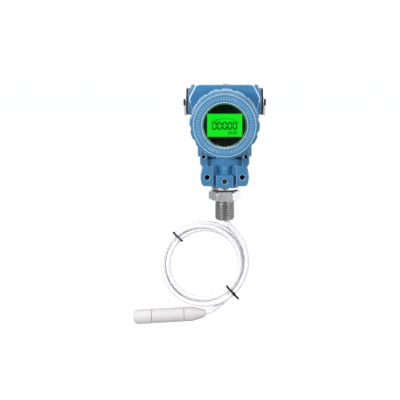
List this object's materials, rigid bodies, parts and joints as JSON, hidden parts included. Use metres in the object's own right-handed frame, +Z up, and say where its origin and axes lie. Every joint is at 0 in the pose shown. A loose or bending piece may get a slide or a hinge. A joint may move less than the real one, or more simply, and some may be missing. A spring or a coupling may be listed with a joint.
{
  "type": "submersible level transmitter",
  "caption": "Blue die-cast display head with round window and sealed cable entries on a threaded steel fitting, with a tied coil of white cable and a white level probe.",
  "frame": {"origin": "on the thread's axis at the hexagon's lower face, which seats on the tank boss", "axes": "+Z up along the thread axis to the head, the display faces -Y, +X to the viewer's right"},
  "size_m": [0.1438, 0.1035, 0.2641],
  "materials": {
    "blue_paint": "semi-gloss enamel on a die casting",
    "steel": "turned",
    "polished_steel": "bright",
    "black_metal": "black anodised",
    "brass": "nickel-free, turned",
    "rubber": "matte",
    "black_plastic": "satin",
    "potting": "cast resin",
    "board_green": "coated laminate",
    "lcd_green": "backlit panel",
    "glass": "clear",
    "ptfe": "waxy white fluoropolymer"
  },
  "bodies": {
    "root": {"process_fitting": "steel", "lock_ring": "steel", "neck_seal": "rubber", "cable_bush": "ptfe", "cable_lead": "ptfe", "cable_coil": "ptfe", "cable_tail": "ptfe", "tie_upper": "black_plastic", "tie_lower": "black_plastic", "probe_nose": "ptfe", "probe_body": "ptfe", "probe_cap": "ptfe"},
    "head": {"housing": "blue_paint", "electronics_module": "potting", "display_board": "board_green", "display_bezel": "black_plastic", "lcd_panel": "lcd_green", "terminal_block": "black_plastic"},
    "front_seal": {"front_seal": "rubber"},
    "front_cover": {"front_cover": "blue_paint", "front_glass": "glass", "glass_retainer": "black_metal"},
    "rear_seal": {"rear_seal": "rubber"},
    "rear_cover": {"rear_cover": "blue_paint"},
    "plug_gasket_left": {"plug_gasket_left": "rubber"},
    "plug_left": {"plug_left": "polished_steel", "plug_bar_left": "black_plastic"},
    "plug_gasket_right": {"plug_gasket_right": "rubber"},
    "plug_right": {"plug_right": "polished_steel", "plug_bar_right": "black_plastic"},
    "set_screw": {"set_screw": "polished_steel"},
    "terminal_screw_1": {"terminal_screw_1": "brass"},
    "terminal_screw_2": {"terminal_screw_2": "brass"},
    "terminal_screw_3": {"terminal_screw_3": "brass"}
  },
  "joints": [
    {"name": "head_turn", "type": "hinge", "parent": "root", "child": "head", "pos_m": [0, 0, 0], "axis": [0, 0, 1], "range_deg": [-175, 175]},
    {"name": "front_seal_travel", "type": "slide", "parent": "head", "child": "front_seal", "axis": [0, -1, 0], "range_m": [0, 0.009]},
    {"name": "front_cover_turn", "type": "hinge", "parent": "front_seal", "child": "front_cover", "pos_m": [0, 0, 0.0855], "axis": [0, -1, 0], "range_deg": [0, 1620]},
    {"name": "rear_seal_travel", "type": "slide", "parent": "head", "child": "rear_seal", "axis": [0, 1, 0], "range_m": [0, 0.009]},
    {"name": "rear_cover_turn", "type": "hinge", "parent": "rear_seal", "child": "rear_cover", "pos_m": [0, 0, 0.0855], "axis": [0, 1, 0], "range_deg": [0, 1620]},
    {"name": "left_gasket_travel", "type": "slide", "parent": "head", "child": "plug_gasket_left", "axis": [-1, 0, 0], "range_m": [0, 0.009]},
    {"name": "left_plug_turn", "type": "hinge", "parent": "plug_gasket_left", "child": "plug_left", "pos_m": [0, 0, 0.1058], "axis": [-1, 0, 0], "range_deg": [0, 2160]},
    {"name": "right_gasket_travel", "type": "slide", "parent": "head", "child": "plug_gasket_right", "axis": [1, 0, 0], "range_m": [0, 0.009]},
    {"name": "right_plug_turn", "type": "hinge", "parent": "plug_gasket_right", "child": "plug_right", "pos_m": [0, 0, 0.1058], "axis": [1, 0, 0], "range_deg": [0, 2160]},
    {"name": "set_screw_turn", "type": "hinge", "parent": "head", "child": "set_screw", "pos_m": [0, 0, 0.0222], "axis": [0, -1, 0], "range_deg": [0, 720]},
    {"name": "terminal_screw_1_turn", "type": "hinge", "parent": "head", "child": "terminal_screw_1", "pos_m": [-0.012, 0, 0.083], "axis": [0, 1, 0], "range_deg": [0, 1080]},
    {"name": "terminal_screw_2_turn", "type": "hinge", "parent": "head", "child": "terminal_screw_2", "pos_m": [0, 0, 0.083], "axis": [0, 1, 0], "range_deg": [0, 1080]},
    {"name": "terminal_screw_3_turn", "type": "hinge", "parent": "head", "child": "terminal_screw_3", "pos_m": [0.012, 0, 0.083], "axis": [0, 1, 0], "range_deg": [0, 1080]}
  ],
  "couplings": [
    {"joint": "front_seal_travel", "follows": "front_cover_turn", "m_per_rad": 0.00031831},
    {"joint": "rear_seal_travel", "follows": "rear_cover_turn", "m_per_rad": 0.00031831},
    {"joint": "left_gasket_travel", "follows": "left_plug_turn", "m_per_rad": 0.00023873},
    {"joint": "right_gasket_travel", "follows": "right_plug_turn", "m_per_rad": 0.00023873}
  ]
}
